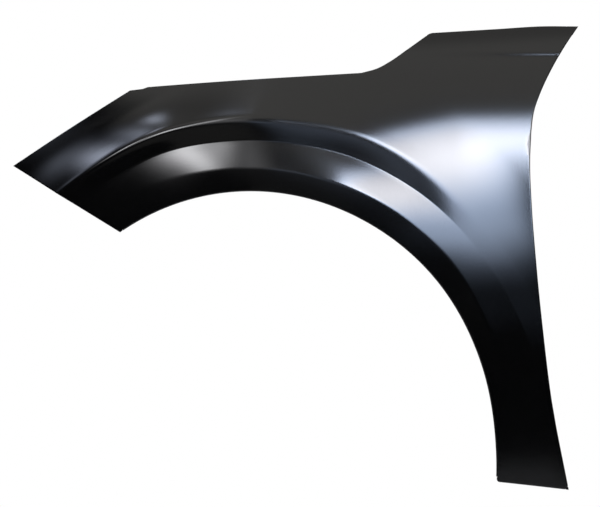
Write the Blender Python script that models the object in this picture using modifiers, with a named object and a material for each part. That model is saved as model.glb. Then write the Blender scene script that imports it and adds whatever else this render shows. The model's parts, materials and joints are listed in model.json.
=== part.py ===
"""Front fender panel for the left side of a compact car, stamped from one steel sheet.

Drawn in the car's own directions: +X to the rear, -Y outboard, +Z up. All sizes are in millimetres and
turned into metres when the meshes are made. The skin is drawn from the wheel centre. The object's origin
is on the underside of the hood rail, between its front and middle bolt holes.
"""

import math

import bmesh
import bpy
import numpy as np
from mathutils import Matrix, Vector
from mathutils.geometry import delaunay_2d_cdt

MM = 0.001

# Sheet and wheel opening
SHEET = 0.8
ARCH_HALF_LENGTH = 409.0
ARCH_HEIGHT = 440.0
ARCH_FRONT_ANGLE = 122.2
ARCH_REAR_ANGLE = -5.4

# How far the cut edge runs outside the opening's plain ellipse, by angle
ARCH_OFFSETS = (
    (122.2, -1.1), (90.0, -0.3), (65.0, 0.9), (40.0, 3.3), (20.0, 1.0), (2.0, 0.2), (-5.4, 2.4),
)

# Body form behind the flare
FRONT_WRAP_START = 50.0
FRONT_WRAP_RADIUS = 590.0
WAIST_FRONT = 220.0
WAIST_REAR = 110.0
CROWN_RADIUS_FRONT = 630.0
CROWN_RADIUS_REAR = 880.0
LOWER_RADIUS = 2600.0
REAR_SWEEP_START = 345.0
REAR_SWEEP_RADIUS = 2400.0
REARWARD_TAPER = 0.029
PANEL_FRONT = -410.0
PANEL_REAR = 560.0

# Soft step across the pillar, this far below its tip, which grows from its start to its full height
PILLAR_STEP = 1.4
PILLAR_STEP_DROP = 51.0
PILLAR_STEP_WIDTH = 12.0
PILLAR_STEP_START = 230.0
PILLAR_STEP_FULL = 500.0

# Wheel flare, by angle round the arch: distance of the inner ridge, the valley and the outer ridge from
# the arch edge, then how far the edge, the inner ridge, the valley and the outer ridge stand outboard,
# then the length over which the outer ridge runs out into the body
FLARE_SECTIONS = (
    (130.0, 48, 78, 116, -6, 0, 2, 24, 70),
    (118.0, 45, 82, 118, -5, 0, 3, 27, 60),
    (107.0, 42, 88, 123, -3, 1, 4, 27, 60),
    (96.0, 39, 86, 122, -1, 5, 4, 21, 85),
    (84.0, 39, 85, 123, 2, 7, 3, 12, 106),
    (70.0, 40, 90, 127, 7, 10, 0, 7, 126),
    (56.0, 43, 91, 124, 11, 10, 3, 4, 118),
    (42.0, 43, 89, 117, 13, 10, 6, 4, 106),
    (30.0, 36, 87, 116, 14, 12, 8, 5, 96),
    (14.0, 31, 87, 116, 10, 8, 6, 4, 90),
    (-5.0, 29, 87, 116, 8, 6, 4, 4, 90),
)
INNER_RIDGE_BLEND = 3.0
VALLEY_BLEND = 7.0
OUTER_RIDGE_BLEND = 8.0
CREASE_LAST_ANGLE = 24.0

# Corners of the outline in side view
SILL_REAR = (529.0, -55.0)
TAIL_TIP = (565.0, 728.0)
TAIL_FOOT = (309.0, 716.0)
HOOD_REAR = (189.0, 643.5)
HOOD_FRONT = (-175.0, 620.0)
NOTCH = (-184.0, 616.8)
LAMP_REAR = (-206.0, 614.5)
FRONT_TIP = (-409.0, 486.5)
DOOR_CURVE = (
    (500, 97), (487, 205), (477, 320), (471.5, 420), (471, 490), (474.5, 538), (481.5, 578),
    (493.5, 609), (511.5, 645), (536, 686),
)
TAIL_CURVE = ((505, 728.5), (425, 723.5))
SWEEP_CURVE = ((268, 685.5), (239, 664.5), (216, 651.5))
LAMP_CURVE = ((-322, 542),)
SILL_CORNER = 6.0
TAIL_CORNER = 6.0

# Folded edges
FOLD_RADIUS = 1.6
ARCH_LIP = 18.0
BUMPER_FLANGE = 20.0
LAMP_FLANGE = 14.0
DOOR_FLANGE = 14.0
SILL_FLANGE = 24.0
TAIL_FLANGE = 18.0
SWEEP_FLANGE = 14.0
HOOD_WALL = 22.0
HOOD_WALL_LEAN = 0.12
HOOD_RAIL = 28.0
HOOD_RAIL_FOLD = 2.5
CORNER_RELIEF = 6.0
TIP_RELIEF = 20.0
RELIEF_STEP = 1.2
DOOR_TAB = 36.0
DOOR_TAB_LENGTH = 40.0
DOOR_TAB_HEIGHTS = (70.0, 520.0)
TAB_SHOULDER = 8.0
LAMP_TAB = 28.0
LAMP_TAB_LENGTH = 30.0
LAMP_TAB_PLACE = 0.36
BUMPER_FLAT = 24.0
BUMPER_FLAT_PLACE = 0.868

# Holes
TAB_HOLE_SETBACK = 12.0
BOLT_HOLE = 9.0
LINER_HOLE = 7.0
LINER_HOLE_ANGLES = (112.0, 92.0, 72.0, 52.0, 31.0, 10.0)
HOOD_BOLTS = (-140.0, 10.0, 160.0)
CLIP_SLOT = (12.0, 6.0)
CLIP_PLACES = (0.25, 0.5, 0.75)
SILL_SLOT = (14.0, 9.0)
SILL_PLACES = (0.28, 0.74)
TAIL_SLOT = (12.0, 7.0)
TAIL_PLACES = (0.28, 0.62)
HOLE_SIDES = 16

# Mesh spacing
ARCH_STEP = 2.4
EDGE_STEP = 15.0
BODY_STEP = 25.0
RUN_ROW = 14.0
GRID_GAP = 9.0
RING_GAP = 3.0
PILLAR_ROW = 20.0
ARCH_EDGE_STEP = 16.0
LONG_EDGE_STEP = 22.0
FLARE_ANGLES = (132.0, -8.0)
CUTTER_REACH = 6.0


def blend(at, stations, values):
    """A smooth curve through the values, with flat ends."""
    order = np.argsort(stations)
    xs = np.asarray(stations, float)[order]
    ys = np.asarray(values, float)[order]
    slopes = np.gradient(ys, xs)
    at = np.clip(at, xs[0], xs[-1])
    i = np.clip(np.searchsorted(xs, at) - 1, 0, len(xs) - 2)
    h = xs[i + 1] - xs[i]
    s = (at - xs[i]) / h
    return (
        (2 * s**3 - 3 * s**2 + 1) * ys[i]
        + (s**3 - 2 * s**2 + s) * h * slopes[i]
        + (3 * s**2 - 2 * s**3) * ys[i + 1]
        + (s**3 - s**2) * h * slopes[i + 1]
    )


def soft_ramp(x, half):
    """0 below, x above, with a parabola across the corner."""
    return np.where(x <= -half, 0.0, np.where(x >= half, x, (x + half) ** 2 / (4 * half)))


def arch_point(angle, out=0.0):
    """A point at this angle of the wheel opening, moved outwards along the opening's normal."""
    t = np.radians(angle)
    nx, nz = ARCH_HEIGHT * np.cos(t), ARCH_HALF_LENGTH * np.sin(t)
    n = np.hypot(nx, nz)
    return ARCH_HALF_LENGTH * np.cos(t) + out * nx / n, ARCH_HEIGHT * np.sin(t) + out * nz / n


def from_arch(x, z):
    """Angle and distance of the nearest point of the wheel opening."""
    a, b = ARCH_HALF_LENGTH, ARCH_HEIGHT
    t = np.arctan2(z / b, x / a)
    for _ in range(8):
        c, s = np.cos(t), np.sin(t)
        away = (x - a * c) * a * s - (z - b * s) * b * c
        rate = (a * s) ** 2 + (x - a * c) * a * c + (b * c) ** 2 + (z - b * s) * b * s
        t = t - away / rate
    return np.degrees(t), np.hypot(x - a * np.cos(t), z - b * np.sin(t))


def flare_values(angle):
    table = np.array(FLARE_SECTIONS, float)
    return [blend(angle, table[:, 0], table[:, k]) for k in range(1, 9)]


def flare(x, z):
    """How far the flare stands outboard of the body."""
    angle, d = from_arch(x, z)
    ridge_in, valley, ridge_out, edge_h, in_h, valley_h, out_h, run = flare_values(angle)
    s1 = (in_h - edge_h) / ridge_in
    s2 = (valley_h - in_h) / (valley - ridge_in)
    s3 = (out_h - valley_h) / (ridge_out - valley)
    s4 = -2 * out_h / run
    inside = (
        edge_h
        + s1 * d
        + (s2 - s1) * soft_ramp(d - ridge_in, INNER_RIDGE_BLEND)
        + (s3 - s2) * soft_ramp(d - valley, VALLEY_BLEND)
    )
    e = d - ridge_out
    half = OUTER_RIDGE_BLEND
    q = np.clip(e / run, 0, 1)
    join = out_h + s4 * half - out_h * (1 - half / run) ** 2
    crest = out_h + s3 * e + (s4 - s3) * soft_ramp(e, half)
    return np.where(e < -half, inside, np.where(e < half, crest, (out_h + join) * (1 - q) ** 2))


def ease(share):
    share = np.clip(share, 0, 1)
    return share**2 * (3 - 2 * share)


def pillar_step_height():
    return TAIL_TIP[1] - PILLAR_STEP_DROP


def pillar_step(x, z):
    """How far the skin above the pillar's soft step stands outboard of the crown."""
    grown = ease((x - PILLAR_STEP_START) / (PILLAR_STEP_FULL - PILLAR_STEP_START))
    return PILLAR_STEP * grown * ease((z - pillar_step_height()) / PILLAR_STEP_WIDTH + 0.5)


def body(x, z):
    """Depth of the plain body form, inboard of its outermost plane."""
    wrap = np.clip(FRONT_WRAP_START - x, 0, None) ** 2 / (2 * FRONT_WRAP_RADIUS)
    f = np.clip((x - PANEL_FRONT) / (PANEL_REAR - PANEL_FRONT), 0, 1)
    waist = WAIST_FRONT + (WAIST_REAR - WAIST_FRONT) * f
    crown = CROWN_RADIUS_FRONT + (CROWN_RADIUS_REAR - CROWN_RADIUS_FRONT) * f
    above = np.clip((z - waist) / crown, 0, 0.93)
    below = np.clip(waist - z, 0, None)
    sweep = np.clip(x - REAR_SWEEP_START, 0, None) ** 2 / (2 * REAR_SWEEP_RADIUS)
    taper = REARWARD_TAPER * np.clip(x, 0, None)
    crowned = crown * (1 - np.sqrt(1 - above**2)) + below**2 / (2 * LOWER_RADIUS)
    return wrap + crowned - sweep + taper - pillar_step(x, z)


def depth(x, z):
    return body(x, z) - flare(x, z)


def skin_point(x, z):
    return Vector((float(x), float(depth(x, z)), float(z)))


def skin_normal(x, z, h=0.5):
    """Outward normal, towards -Y."""
    along = (depth(x + h, z) - depth(x - h, z)) / (2 * h)
    up = (depth(x, z + h) - depth(x, z - h)) / (2 * h)
    return Vector((float(along), -1.0, float(up))).normalized()


def curve_through(points, per_span=24):
    """A smooth line through the points, finely divided."""
    pts = np.array(points, float)
    if len(pts) == 2:
        return pts
    chord = np.hypot(*np.diff(pts, axis=0).T)
    u = np.concatenate([[0.0], np.cumsum(chord)])
    fine = np.concatenate([np.linspace(u[i], u[i + 1], per_span, endpoint=False) for i in range(len(u) - 1)])
    fine = np.append(fine, u[-1])
    return np.stack([blend(fine, u, pts[:, 0]), blend(fine, u, pts[:, 1])], axis=1)


class Edge:
    """One side of the outline, walked with the panel on its left."""

    def __init__(self, line, reliefs, folded=True, corner=0.0):
        self.line = np.array(line, float)
        self.run = np.concatenate([[0.0], np.cumsum(np.hypot(*np.diff(self.line, axis=0).T))])
        self.length = self.run[-1]
        self.reliefs = reliefs
        self.folded = folded
        self.corner = corner

    def at(self, u):
        return np.array([np.interp(u, self.run, self.line[:, 0]), np.interp(u, self.run, self.line[:, 1])])

    def tangent(self, u, h=1.0):
        step = self.at(min(u + h, self.length)) - self.at(max(u - h, 0.0))
        return step / np.hypot(*step)

    def inward(self, u, distance):
        t = self.tangent(u)
        return self.at(u) + distance * np.array([-t[1], t[0]])

    def places(self, step, flats=()):
        """Where the edge's sections are taken, with none inside a flat stretch."""
        first, last = self.reliefs[0], self.length - self.reliefs[1]
        stops = sorted({first, last, *[e for flat in flats for e in flat]})
        found = []
        for a, b in zip(stops[:-1], stops[1:]):
            level = any(low <= a and b <= high for low, high in flats)
            n = 1 if level else max(1, math.ceil((b - a) / step))
            found.extend(a + (b - a) * k / n for k in range(n))
        return found + [last]


def fold(start, leaving, along, radius, steps):
    """Points of a bend that leaves in one direction and ends along another."""
    across = (along - along.dot(leaving) * leaving).normalized()
    turn = leaving.angle(along)
    points = []
    for k in range(1, steps + 1):
        a = turn * k / steps
        points.append(start + radius * (math.sin(a) * leaving + (1 - math.cos(a)) * across))
    return points


def fold_frame(edge, u):
    """Where the bend starts on the skin, and the skin's direction there, square to the edge.

    On skin that leans inboard the bend starts nearer the edge, so that it just reaches it in side view.
    """
    x, z = edge.inward(u, FOLD_RADIUS)
    t = edge.tangent(u)
    h = 1.0
    a, b = skin_point(x - h * t[0], z - h * t[1]), skin_point(x + h * t[0], z + h * t[1])
    normal = skin_normal(x, z)
    leaving = (b - a).normalized().cross(normal)
    if leaving.x * -t[1] + leaving.z * t[0] > 0:
        leaving = -leaving
    leaving.normalize()
    x, z = edge.inward(u, FOLD_RADIUS * (1 - leaving.y))
    return skin_point(x, z), leaving


def outline():
    angles = np.linspace(ARCH_FRONT_ANGLE, ARCH_REAR_ANGLE, 240)
    stations, offsets = np.array(ARCH_OFFSETS).T
    arch = np.stack(arch_point(angles, blend(angles, stations, offsets)), axis=1)
    small, tip = CORNER_RELIEF, TIP_RELIEF
    sill, foot = SILL_CORNER + 2 * RELIEF_STEP, TAIL_CORNER + 2 * RELIEF_STEP
    return {
        "arch": Edge(arch, (small, sill)),
        "sill": Edge([arch[-1], SILL_REAR], (sill, small), corner=SILL_CORNER),
        "door": Edge(curve_through([SILL_REAR, *DOOR_CURVE, TAIL_TIP]), (small, tip)),
        "tail": Edge(curve_through([TAIL_TIP, *TAIL_CURVE, TAIL_FOOT]), (tip, foot)),
        "sweep": Edge(
            curve_through([TAIL_FOOT, *SWEEP_CURVE, HOOD_REAR]), (foot, small), corner=TAIL_CORNER
        ),
        "hood": Edge([HOOD_REAR, HOOD_FRONT], (small, small)),
        "notch": Edge([HOOD_FRONT, NOTCH, LAMP_REAR], (0.0, 0.0), folded=False),
        "lamp": Edge(curve_through([LAMP_REAR, *LAMP_CURVE, FRONT_TIP]), (small, tip)),
        "bumper": Edge([FRONT_TIP, arch[0]], (tip, small)),
    }


EDGES = outline()
FLANGE_WAY = {
    "arch": Vector((0, 1, 0)),
    "sill": Vector((0, 1, 0)),
    "door": Vector((0, 1, 0)),
    "tail": Vector((0, 0.9, -0.44)).normalized(),
    "sweep": Vector((0.2, 0.62, -0.76)).normalized(),
    "lamp": Vector((0.35, 0.8, -0.5)).normalized(),
    "bumper": Vector((0, 1, 0)),
}
FLANGE_WIDTH = {
    "arch": ARCH_LIP,
    "sill": SILL_FLANGE,
    "door": DOOR_FLANGE,
    "tail": TAIL_FLANGE,
    "sweep": SWEEP_FLANGE,
    "lamp": LAMP_FLANGE,
    "bumper": BUMPER_FLANGE,
}


def door_place(height):
    edge = EDGES["door"]
    return float(np.interp(height, edge.line[:, 1], edge.run))


def tabs(name):
    """Middle, length and width of each bolt tab on this flange."""
    if name == "door":
        return [(door_place(h), DOOR_TAB_LENGTH, DOOR_TAB) for h in DOOR_TAB_HEIGHTS]
    if name == "lamp":
        return [(LAMP_TAB_PLACE * EDGES["lamp"].length, LAMP_TAB_LENGTH, LAMP_TAB)]
    return []


def flange_width(name, u):
    """Flange width here, wider on a tab with sloping shoulders."""
    wide = FLANGE_WIDTH[name]
    for middle, length, reach in tabs(name):
        over = abs(u - middle) - length / 2
        if over <= 0:
            return reach
        if over < TAB_SHOULDER:
            return wide + (reach - wide) * (1 - over / TAB_SHOULDER)
    return wide


def tab_flats(name):
    """The stretches of this edge that are kept flat: each tab's middle and shoulders, and a clip's seat."""
    if name == "bumper":
        middle = BUMPER_FLAT_PLACE * EDGES["bumper"].length
        return [(middle - BUMPER_FLAT / 2, middle + BUMPER_FLAT / 2)]
    spans = []
    for middle, length, _ in tabs(name):
        low, high = middle - length / 2, middle + length / 2
        spans += [(low - TAB_SHOULDER, low), (low, high), (high, high + TAB_SHOULDER)]
    return spans


def hood_line(x):
    slope = (HOOD_REAR[1] - HOOD_FRONT[1]) / (HOOD_REAR[0] - HOOD_FRONT[0])
    return HOOD_FRONT[1] + slope * (x - HOOD_FRONT[0])


def flange_rows(name, u):
    """The folded edge in section, from the skin outwards."""
    start, leaving = fold_frame(EDGES[name], u)
    if name == "hood":
        down = Vector((0, HOOD_WALL_LEAN, -1)).normalized()
        inboard = Vector((0, 1, 0))
        rows = fold(start, leaving, down, FOLD_RADIUS, 4)
        level = hood_line(rows[-1].x) - HOOD_WALL
        bend = fold(Vector((0, 0, 0)), down, inboard, HOOD_RAIL_FOLD, 2)
        wall = rows[-1] + down * ((level - bend[-1].z - rows[-1].z) / down.z)
        rail = [wall + b for b in bend]
        return rows + [wall] + rail + [rail[-1] + inboard * (HOOD_RAIL - HOOD_RAIL_FOLD)]
    way = FLANGE_WAY[name]
    rows = fold(start, leaving, way, FOLD_RADIUS, 2)
    return rows + [rows[-1] + way * (flange_width(name, u) - FOLD_RADIUS)]


def hood_rail_point(x, back=HOOD_RAIL / 2):
    """A point on the top of the hood rail, this far inboard of its wall."""
    u = EDGES["hood"].line[0][0] - x
    u = u * EDGES["hood"].length / (HOOD_REAR[0] - HOOD_FRONT[0])
    rows = flange_rows("hood", u)
    return rows[-2] + Vector((0, back - HOOD_RAIL_FOLD, 0))


def inside(points, loop, margin):
    """Which points lie in the loop, at least a margin from it."""
    a, b = loop, np.roll(loop, -1, axis=0)
    px, pz = points[:, 0:1], points[:, 1:2]
    cross = (a[:, 1] > pz) != (b[:, 1] > pz)
    run = np.where(b[:, 1] == a[:, 1], 1e-9, b[:, 1] - a[:, 1])
    hit = px < (b[:, 0] - a[:, 0]) * (pz - a[:, 1]) / run + a[:, 0]
    within = (cross & hit).sum(axis=1) % 2 == 1
    seg = b - a
    length2 = np.maximum((seg**2).sum(axis=1), 1e-9)
    s = np.clip(((px - a[:, 0]) * seg[:, 0] + (pz - a[:, 1]) * seg[:, 1]) / length2, 0, 1)
    gap = np.hypot(px - a[:, 0] - s * seg[:, 0], pz - a[:, 1] - s * seg[:, 1]).min(axis=1)
    return within & (gap > margin)


def corner_points(before, edge):
    """The corner where this edge starts, rounded over its corner length."""
    if edge.corner == 0:
        return [tuple(edge.at(0.0))]
    a, c, b = before.at(before.length - edge.corner), edge.at(0.0), edge.at(edge.corner)
    return [tuple((1 - s) ** 2 * a + 2 * s * (1 - s) * c + s**2 * b) for s in np.linspace(0, 1, 6)]


def build_skin():
    """The whole sheet's outer face: the skin, then a strip folded in along each edge."""
    loop = []
    strips = []
    before = EDGES["bumper"]
    for name, edge in EDGES.items():
        if not edge.folded:
            loop.extend(tuple(edge.at(u)) for u in edge.run[:-1])
            before = edge
            continue
        step = ARCH_EDGE_STEP if name == "arch" else EDGE_STEP
        if name in ("hood", "bumper", "sill", "tail", "lamp"):
            step = LONG_EDGE_STEP
        places = edge.places(step, tab_flats(name))
        loop.extend(corner_points(before, edge))
        loop.append(tuple(edge.at(places[0] - RELIEF_STEP)))
        first = len(loop)
        starts = [fold_frame(edge, u)[0] for u in places]
        loop.extend((p.x, p.z) for p in starts)
        strips.append((first, [flange_rows(name, u) for u in places]))
        loop.append(tuple(edge.at(places[-1] + RELIEF_STEP)))
        before = edge
    ring = np.array(loop)

    coords = [Vector(p) for p in loop]
    edges = [(i, (i + 1) % len(loop)) for i in range(len(loop))]
    first, last = FLARE_ANGLES
    angles = np.linspace(first, last, math.ceil((first - last) / ARCH_STEP) + 1)
    ridge_in, valley, ridge_out = flare_values(angles)[:3]
    bands = [
        (0.5 * ridge_in, False, -10.0),
        (ridge_in - INNER_RIDGE_BLEND, True, -10.0),
        (ridge_in + INNER_RIDGE_BLEND, True, -10.0),
        (0.62 * ridge_in + 0.38 * valley, False, 0.0),
        (0.30 * ridge_in + 0.70 * valley, False, 0.0),
        (valley - VALLEY_BLEND, True, CREASE_LAST_ANGLE),
        (valley, True, CREASE_LAST_ANGLE),
        (valley + VALLEY_BLEND, True, CREASE_LAST_ANGLE),
        (ridge_out - OUTER_RIDGE_BLEND, True, CREASE_LAST_ANGLE),
        (ridge_out, True, CREASE_LAST_ANGLE),
        (ridge_out + OUTER_RIDGE_BLEND, True, CREASE_LAST_ANGLE),
        (ridge_out + OUTER_RIDGE_BLEND + RUN_ROW, False, CREASE_LAST_ANGLE),
    ]
    for distances, crease, last in bands:
        x, z = arch_point(angles, distances)
        keep = inside(np.stack([x, z], axis=1), ring, RING_GAP) & (angles >= last)
        before = None
        for k in range(len(angles)):
            if not keep[k]:
                before = None
                continue
            coords.append(Vector((x[k], z[k])))
            if crease and before is not None:
                edges.append((before, len(coords) - 1))
            before = len(coords) - 1

    low, high = ring.min(axis=0), ring.max(axis=0)
    for share in (-0.5, 0.0, 0.5):
        x = np.arange(PILLAR_STEP_START, high[0], PILLAR_ROW)
        z = np.full(len(x), pillar_step_height() + share * PILLAR_STEP_WIDTH)
        before = None
        for p in np.stack([x, z], axis=1)[inside(np.stack([x, z], axis=1), ring, RING_GAP)]:
            coords.append(Vector(p))
            if before is not None:
                edges.append((before, len(coords) - 1))
            before = len(coords) - 1

    rows = []
    z = low[1]
    odd = False
    while z < high[1]:
        rows.extend((x + (BODY_STEP / 2 if odd else 0), z) for x in np.arange(low[0], high[0], BODY_STEP))
        z += BODY_STEP * math.sqrt(3) / 2
        odd = not odd
    rows = np.array(rows)
    angle, d = from_arch(rows[:, 0], rows[:, 1])
    _, _, out, *_ = flare_values(angle)
    inner = flare_values(angle)[0]
    beyond = d > out + OUTER_RIDGE_BLEND + RUN_ROW + GRID_GAP
    leg = (angle < CREASE_LAST_ANGLE - 2) & (d > inner + RUN_ROW)
    off_step = (rows[:, 0] < PILLAR_STEP_START) | (
        np.abs(rows[:, 1] - pillar_step_height()) > PILLAR_STEP_WIDTH / 2 + GRID_GAP
    )
    rows = rows[inside(rows, ring, GRID_GAP) & off_step & (beyond | leg)]
    coords.extend(Vector(p) for p in rows)

    flat, _, faces, origin, _, _ = delaunay_2d_cdt(coords, edges, [], 0, 0.01, True)
    place = {}
    for new, olds in enumerate(origin):
        for old in olds:
            place[old] = new
    points = [skin_point(p.x, p.y) for p in flat]
    middles = np.array([[sum(flat[i].x for i in f) / 3, sum(flat[i].y for i in f) / 3] for f in faces])
    out_faces = []
    for face, kept in zip(faces, inside(middles, ring, 0.0)):
        a, b, c = (flat[i] for i in face)
        if not kept:
            continue
        turn = (b.x - a.x) * (c.y - a.y) - (b.y - a.y) * (c.x - a.x)
        if abs(turn) > 1e-6:
            out_faces.append(tuple(face) if turn > 0 else tuple(reversed(face)))
    for first, columns in strips:
        previous = None
        for k, rows_here in enumerate(columns):
            column = [place[first + k]]
            for p in rows_here:
                points.append(p)
                column.append(len(points) - 1)
            if previous:
                for j in range(len(column) - 1):
                    out_faces.append((column[j], previous[j], previous[j + 1], column[j + 1]))
            previous = column
    return points, out_faces


def slot_cutter(name, centre, axis, length, width, along, collection, parent):
    """A round-ended cutter across the sheet; a hole where length and width are equal."""
    mesh = bpy.data.meshes.new(name)
    bm = bmesh.new()
    half = HOLE_SIDES // 2
    shift = (length - width) / 2
    ring = []
    for side in (1, -1):
        count = half + 1 if shift > 0 else half
        for k in range(count):
            a = math.pi * k / half - math.pi / 2 + (math.pi if side < 0 else 0)
            ring.append((side * shift + width / 2 * math.cos(a), width / 2 * math.sin(a)))
    low = [bm.verts.new((x * MM, y * MM, -CUTTER_REACH * MM)) for x, y in ring]
    face = bm.faces.new(low)
    lifted = bmesh.ops.extrude_face_region(bm, geom=[face])
    moved = [v for v in lifted["geom"] if isinstance(v, bmesh.types.BMVert)]
    bmesh.ops.translate(bm, vec=(0, 0, 2 * CUTTER_REACH * MM), verts=moved)
    bmesh.ops.recalc_face_normals(bm, faces=bm.faces)
    bm.to_mesh(mesh)
    bm.free()
    cutter = bpy.data.objects.new(name, mesh)
    collection.objects.link(cutter)
    cutter.parent = parent
    z_axis = axis.normalized()
    x_axis = (along - along.dot(z_axis) * z_axis).normalized()
    y_axis = z_axis.cross(x_axis)
    turn = Matrix((x_axis, y_axis, z_axis)).transposed().to_4x4()
    cutter.matrix_local = Matrix.Translation(centre * MM) @ turn
    cutter.hide_render = True
    cutter.display_type = "WIRE"
    return cutter


def flange_hole(name, u, reach):
    """Centre, sheet normal and edge direction of a place on a flange."""
    rows = flange_rows(name, u)
    way = FLANGE_WAY[name]
    t = EDGES[name].tangent(u)
    h = 2.0
    here, after = fold_frame(EDGES[name], u)[0], fold_frame(EDGES[name], u + h)[0]
    along = (after - here).normalized() if h else Vector((t[0], 0, t[1]))
    along = (along - along.dot(way) * way).normalized()
    centre = rows[-2] + way * (reach - FOLD_RADIUS)
    return centre, along.cross(way).normalized(), along


def tab_hole(name, middle, length, reach):
    """Centre, sheet normal and edge direction of a tab's hole, on the tab's own flat."""
    ends = [flange_rows(name, middle + side * length / 2)[-2] for side in (-1, 1)]
    way = FLANGE_WAY[name]
    along = (ends[1] - ends[0]).normalized()
    centre = (ends[0] + ends[1]) / 2 + way * (reach - TAB_HOLE_SETBACK - FOLD_RADIUS)
    return centre, along.cross(way).normalized(), along


def material():
    mat = bpy.data.materials.new("black_primer")
    mat.use_nodes = True
    shader = mat.node_tree.nodes["Principled BSDF"]
    shader.inputs["Base Color"].default_value = (0.006, 0.006, 0.006, 1.0)
    shader.inputs["Roughness"].default_value = 0.17
    shader.inputs["Metallic"].default_value = 0.0
    return mat


def main():
    for obj in list(bpy.data.objects):
        bpy.data.objects.remove(obj, do_unlink=True)
    scene = bpy.context.scene
    parts = bpy.data.collections.new("car_fender")
    cutters = bpy.data.collections.new("car_fender_cutters")
    scene.collection.children.link(parts)
    scene.collection.children.link(cutters)

    slope = (HOOD_REAR[1] - HOOD_FRONT[1]) / (HOOD_REAR[0] - HOOD_FRONT[0])
    rail_up = Vector((-slope, 0, 1)).normalized()
    between = (HOOD_BOLTS[0] + HOOD_BOLTS[1]) / 2
    rail_under = hood_rail_point(between) - SHEET * rail_up
    wheel_centre = bpy.data.objects.new("wheel_centre", None)
    parts.objects.link(wheel_centre)
    wheel_centre.location = -rail_under * MM

    points, faces = build_skin()
    mesh = bpy.data.meshes.new("fender_panel")
    mesh.from_pydata([tuple(p * MM) for p in points], [], faces)
    mesh.update()
    mesh.materials.append(material())
    mesh.shade_smooth()
    mesh.set_sharp_from_angle(angle=math.radians(32))
    panel = bpy.data.objects.new("fender_panel", mesh)
    parts.objects.link(panel)
    panel.parent = wheel_centre

    sheet = panel.modifiers.new("sheet", "SOLIDIFY")
    sheet.thickness = SHEET * MM
    sheet.offset = -1.0
    sheet.use_even_offset = True

    along_x = Vector((1, 0, 0))
    for k, x in enumerate(HOOD_BOLTS):
        centre = hood_rail_point(x)
        slot_cutter(f"hood_bolt_{k}", centre, rail_up, BOLT_HOLE, BOLT_HOLE, along_x, cutters, wheel_centre)
    arch = EDGES["arch"]
    for k, angle in enumerate(LINER_HOLE_ANGLES):
        x, z = arch_point(angle)
        u = float(arch.run[np.argmin(np.hypot(arch.line[:, 0] - x, arch.line[:, 1] - z))])
        centre, normal, along = flange_hole("arch", u, ARCH_LIP / 2 + 1)
        slot_cutter(f"liner_hole_{k}", centre, normal, LINER_HOLE, LINER_HOLE, along, cutters, wheel_centre)
    for k, share in enumerate(CLIP_PLACES):
        centre, normal, along = flange_hole("bumper", share * EDGES["bumper"].length, BUMPER_FLANGE / 2 + 1)
        slot_cutter(f"bumper_clip_{k}", centre, normal, *CLIP_SLOT, along, cutters, wheel_centre)
    for k, share in enumerate(SILL_PLACES):
        centre, normal, along = flange_hole("sill", share * EDGES["sill"].length, SILL_FLANGE / 2 + 1)
        slot_cutter(f"sill_slot_{k}", centre, normal, *SILL_SLOT, along, cutters, wheel_centre)
    for k, share in enumerate(TAIL_PLACES):
        centre, normal, along = flange_hole("tail", share * EDGES["tail"].length, TAIL_FLANGE / 2 + 1)
        slot_cutter(f"tail_slot_{k}", centre, normal, *TAIL_SLOT, along, cutters, wheel_centre)
    for name, hole in (("door", BOLT_HOLE), ("lamp", LINER_HOLE)):
        for k, (middle, length, reach) in enumerate(tabs(name)):
            centre, normal, along = tab_hole(name, middle, length, reach)
            slot_cutter(f"{name}_tab_hole_{k}", centre, normal, hole, hole, along, cutters, wheel_centre)

    holes = panel.modifiers.new("holes", "BOOLEAN")
    holes.operation = "DIFFERENCE"
    holes.solver = "EXACT"
    holes.operand_type = "COLLECTION"
    holes.collection = cutters


main()
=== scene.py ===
"""A black-primed front fender panel for the left side of a car, hung in a white studio for its picture.

The sheet is drawn again here with the sizes of the CAD part, at a finer spacing, so that its reflections
run smoothly. Sizes are in millimetres from the wheel centre, with +X to the rear of the car, -Y outboard
and +Z up, and are turned into metres when the meshes are made.
"""

import json
import math

import bmesh
import bpy
import numpy as np
from mathutils import Matrix, Vector
from mathutils.geometry import delaunay_2d_cdt

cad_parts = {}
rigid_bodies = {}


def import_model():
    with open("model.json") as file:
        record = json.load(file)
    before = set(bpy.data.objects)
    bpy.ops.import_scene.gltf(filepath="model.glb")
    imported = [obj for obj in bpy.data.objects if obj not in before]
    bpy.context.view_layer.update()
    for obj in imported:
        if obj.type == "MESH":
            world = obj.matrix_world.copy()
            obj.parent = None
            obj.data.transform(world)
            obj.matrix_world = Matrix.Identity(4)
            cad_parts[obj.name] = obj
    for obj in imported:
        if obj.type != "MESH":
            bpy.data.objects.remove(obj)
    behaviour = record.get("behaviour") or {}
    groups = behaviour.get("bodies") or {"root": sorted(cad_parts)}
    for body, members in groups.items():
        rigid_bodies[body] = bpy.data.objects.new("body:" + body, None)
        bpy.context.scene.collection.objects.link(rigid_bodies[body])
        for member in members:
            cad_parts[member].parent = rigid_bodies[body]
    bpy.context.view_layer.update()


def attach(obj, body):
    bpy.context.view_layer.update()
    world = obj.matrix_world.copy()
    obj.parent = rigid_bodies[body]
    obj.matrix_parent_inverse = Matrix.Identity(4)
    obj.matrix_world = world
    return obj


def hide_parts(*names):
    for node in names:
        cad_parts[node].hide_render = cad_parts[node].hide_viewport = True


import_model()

MM = 0.001
TINY = 1e-9

# Sheet and wheel opening
SHEET = 0.8
ARCH_HALF_LENGTH = 409.0
ARCH_HEIGHT = 440.0
ARCH_FRONT_ANGLE = 122.2
ARCH_REAR_ANGLE = -5.4

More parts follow.
